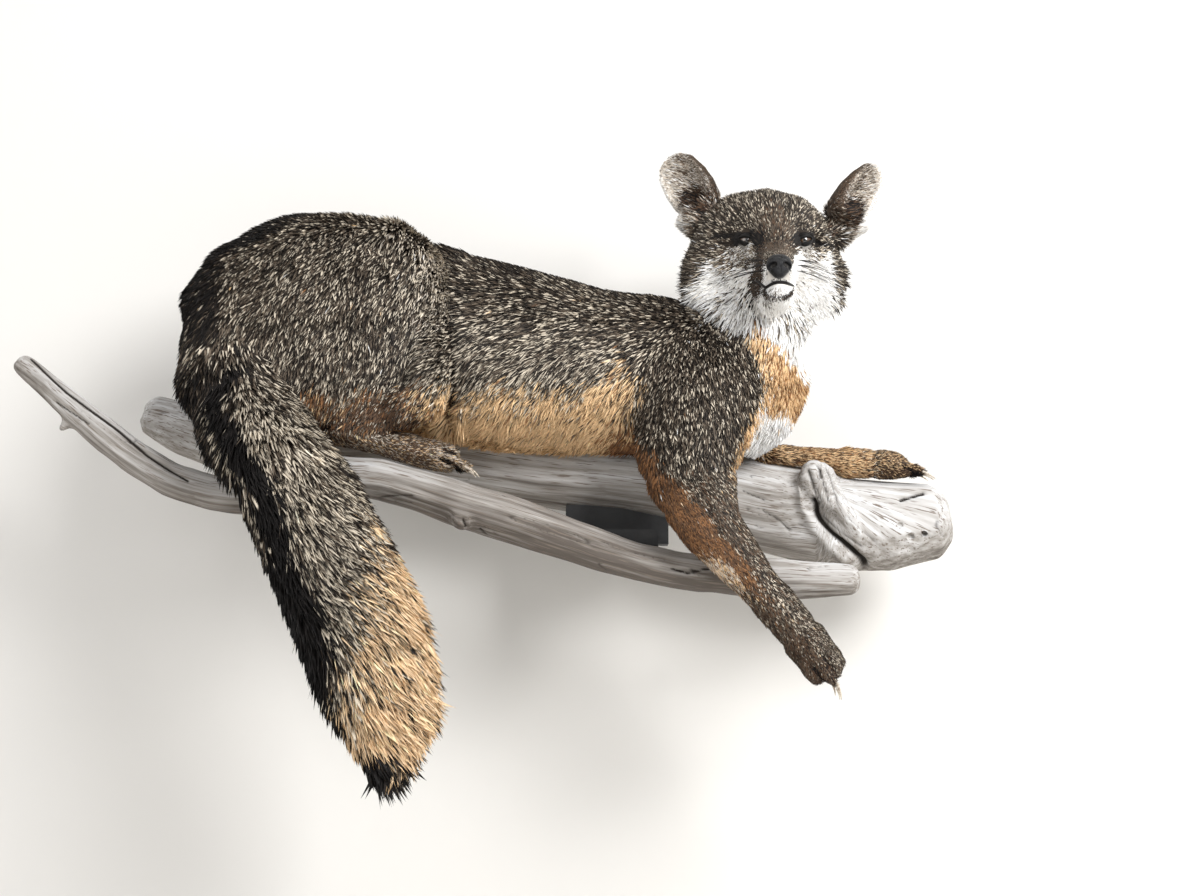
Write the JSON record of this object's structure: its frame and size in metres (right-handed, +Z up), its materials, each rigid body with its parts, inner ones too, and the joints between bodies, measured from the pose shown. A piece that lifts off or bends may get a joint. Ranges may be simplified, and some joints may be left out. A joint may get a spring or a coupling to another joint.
{
  "type": "taxidermy gray fox on driftwood wall mount",
  "caption": "Still, life-size gray fox lying on a driftwood log and branch that hang on a wall, head turned to the viewer, one foreleg and the tail hanging down.",
  "frame": {"origin": "centre of the hanging plate's back face, on the wall", "axes": "+X to the viewer's right, along the animal from rump to head; +Y into the wall; +Z up"},
  "size_m": [0.7657, 0.2111, 0.5107],
  "materials": {
    "coat_grizzled": "salt-and-pepper gray fur",
    "coat_rust": "rusty orange fur",
    "coat_face": "short gray and white face fur",
    "coat_pale": "white throat fur",
    "coat_brown": "short brown foot fur",
    "coat_ear": "thin ear with white hair inside",
    "coat_tail": "bushy gray, black and golden tail fur",
    "nose_leather": "black, slightly damp",
    "glass_eye": "glossy dark brown glass eye",
    "claw_horn": "pale horn",
    "driftwood": "weathered silver-grey, cracked",
    "black_steel": "black paint"
  },
  "bodies": {
    "root": {"trunk": "coat_grizzled", "neck": "coat_pale", "head": "coat_face", "muzzle": "coat_face", "lower_jaw": "coat_pale", "nose_pad": "nose_leather", "eye_right": "glass_eye", "eye_left": "glass_eye", "ear_right": "coat_ear", "ear_left": "coat_ear", "foreleg_right_upper": "coat_grizzled", "foreleg_right_lower": "coat_rust", "forepaw_right": "coat_brown", "foreleg_left_upper": "coat_rust", "foreleg_left_lower": "coat_rust", "forepaw_left": "coat_brown", "hindleg_right_thigh": "coat_grizzled", "hindleg_right_shank": "coat_brown", "hindfoot_right": "coat_brown", "hindleg_left_thigh": "coat_grizzled", "hindleg_left_shank": "coat_brown", "hindfoot_left": "coat_brown", "tail_root": "coat_tail", "tail_middle": "coat_tail", "tail_end": "coat_tail", "forepaw_right_claw_1": "claw_horn", "forepaw_right_claw_2": "claw_horn", "forepaw_right_claw_3": "claw_horn", "forepaw_right_claw_4": "claw_horn", "forepaw_left_claw_1": "claw_horn", "forepaw_left_claw_2": "claw_horn", "forepaw_left_claw_3": "claw_horn", "forepaw_left_claw_4": "claw_horn", "hindfoot_right_claw_1": "claw_horn", "hindfoot_right_claw_2": "claw_horn", "hindfoot_right_claw_3": "claw_horn", "hindfoot_right_claw_4": "claw_horn", "hindfoot_left_claw_1": "claw_horn", "hindfoot_left_claw_2": "claw_horn", "hindfoot_left_claw_3": "claw_horn", "hindfoot_left_claw_4": "claw_horn", "driftwood_log": "driftwood", "driftwood_branch": "driftwood", "joining_bracket": "black_steel", "wall_plate": "black_steel"}
  },
  "joints": []
}
